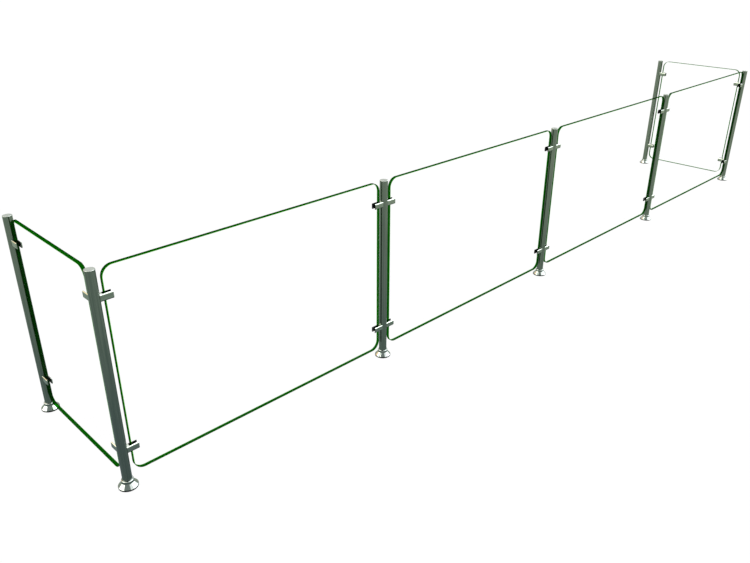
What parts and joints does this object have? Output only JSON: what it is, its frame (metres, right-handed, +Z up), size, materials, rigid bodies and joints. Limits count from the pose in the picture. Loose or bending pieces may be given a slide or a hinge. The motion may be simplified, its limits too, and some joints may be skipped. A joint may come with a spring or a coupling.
{
  "type": "post and glass barrier",
  "caption": "U-shaped barrier of round steel posts and clear glass panels, held by bar clamps at top and bottom, with round floor covers that lift to reach the anchors.",
  "frame": {"origin": "on the floor at the centre of the footprint", "axes": "+Z up, X along the long row, +Y from the long row towards the open side of the U"},
  "size_m": [6.266, 0.886, 1.02],
  "materials": {
    "tube_steel": "satin",
    "cap_steel": "satin",
    "plate_steel": "mill",
    "cover_chrome": "polished",
    "panel_glass": "clear float glass, green at the edges",
    "clamp_chrome": "polished",
    "gasket_rubber": "matt",
    "screw_steel": "bright",
    "nut_steel": "zinc plated"
  },
  "bodies": {
    "barrier": {"post_tube_1": "tube_steel", "post_cap_1": "cap_steel", "base_plate_1": "plate_steel", "post_tube_2": "tube_steel", "post_cap_2": "cap_steel", "base_plate_2": "plate_steel", "post_tube_3": "tube_steel", "post_cap_3": "cap_steel", "base_plate_3": "plate_steel", "post_tube_4": "tube_steel", "post_cap_4": "cap_steel", "base_plate_4": "plate_steel", "post_tube_5": "tube_steel", "post_cap_5": "cap_steel", "base_plate_5": "plate_steel", "post_tube_6": "tube_steel", "post_cap_6": "cap_steel", "base_plate_6": "plate_steel", "post_tube_7": "tube_steel", "post_cap_7": "cap_steel", "base_plate_7": "plate_steel", "glass_panel_1": "panel_glass", "clamp_backs_1": "clamp_chrome", "clamp_fronts_1": "clamp_chrome", "clamp_gaskets_1": "gasket_rubber", "clamp_screws_1": "screw_steel", "glass_panel_2": "panel_glass", "clamp_backs_2": "clamp_chrome", "clamp_fronts_2": "clamp_chrome", "clamp_gaskets_2": "gasket_rubber", "clamp_screws_2": "screw_steel", "glass_panel_3": "panel_glass", "clamp_backs_3": "clamp_chrome", "clamp_fronts_3": "clamp_chrome", "clamp_gaskets_3": "gasket_rubber", "clamp_screws_3": "screw_steel", "glass_panel_4": "panel_glass", "clamp_backs_4": "clamp_chrome", "clamp_fronts_4": "clamp_chrome", "clamp_gaskets_4": "gasket_rubber", "clamp_screws_4": "screw_steel", "glass_panel_5": "panel_glass", "clamp_backs_5": "clamp_chrome", "clamp_fronts_5": "clamp_chrome", "clamp_gaskets_5": "gasket_rubber", "clamp_screws_5": "screw_steel", "glass_panel_6": "panel_glass", "clamp_backs_6": "clamp_chrome", "clamp_fronts_6": "clamp_chrome", "clamp_gaskets_6": "gasket_rubber", "clamp_screws_6": "screw_steel", "post_screws": "screw_steel", "rivet_nuts": "nut_steel"},
    "cover_1": {"floor_cover_1": "cover_chrome"},
    "cover_2": {"floor_cover_2": "cover_chrome"},
    "cover_3": {"floor_cover_3": "cover_chrome"},
    "cover_4": {"floor_cover_4": "cover_chrome"},
    "cover_5": {"floor_cover_5": "cover_chrome"},
    "cover_6": {"floor_cover_6": "cover_chrome"},
    "cover_7": {"floor_cover_7": "cover_chrome"}
  },
  "joints": [
    {"name": "cover_slide_1", "type": "slide", "parent": "barrier", "child": "cover_1", "axis": [0, 0, 1], "range_m": [0, 0.07]},
    {"name": "cover_slide_2", "type": "slide", "parent": "barrier", "child": "cover_2", "axis": [0, 0, 1], "range_m": [0, 0.07]},
    {"name": "cover_slide_3", "type": "slide", "parent": "barrier", "child": "cover_3", "axis": [0, 0, 1], "range_m": [0, 0.07]},
    {"name": "cover_slide_4", "type": "slide", "parent": "barrier", "child": "cover_4", "axis": [0, 0, 1], "range_m": [0, 0.07]},
    {"name": "cover_slide_5", "type": "slide", "parent": "barrier", "child": "cover_5", "axis": [0, 0, 1], "range_m": [0, 0.07]},
    {"name": "cover_slide_6", "type": "slide", "parent": "barrier", "child": "cover_6", "axis": [0, 0, 1], "range_m": [0, 0.07]},
    {"name": "cover_slide_7", "type": "slide", "parent": "barrier", "child": "cover_7", "axis": [0, 0, 1], "range_m": [0, 0.07]}
  ]
}
